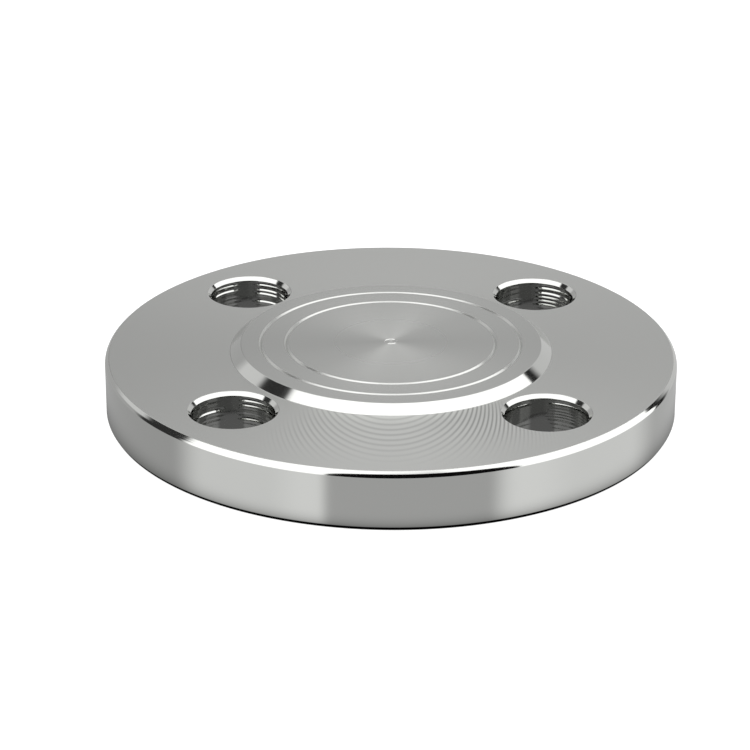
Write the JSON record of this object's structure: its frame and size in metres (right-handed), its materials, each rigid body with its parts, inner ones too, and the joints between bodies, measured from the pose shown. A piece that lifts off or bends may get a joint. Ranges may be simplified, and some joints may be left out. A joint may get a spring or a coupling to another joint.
{
  "type": "blind plate flange",
  "caption": "Round blind plate flange with a raised, grooved sealing face and chamfered bolt holes, to close the end of a pipe.",
  "frame": {"origin": "centre of the flat back face", "axes": "+Z along the flange's axis towards the raised face; the bolt holes lie half way between +X and +Y and so on round"},
  "size_m": [0.135, 0.135, 0.016],
  "materials": {
    "turned_steel": "fine turned and polished stainless steel, neutral grey"
  },
  "bodies": {
    "root": {"flange": "turned_steel"}
  },
  "joints": []
}
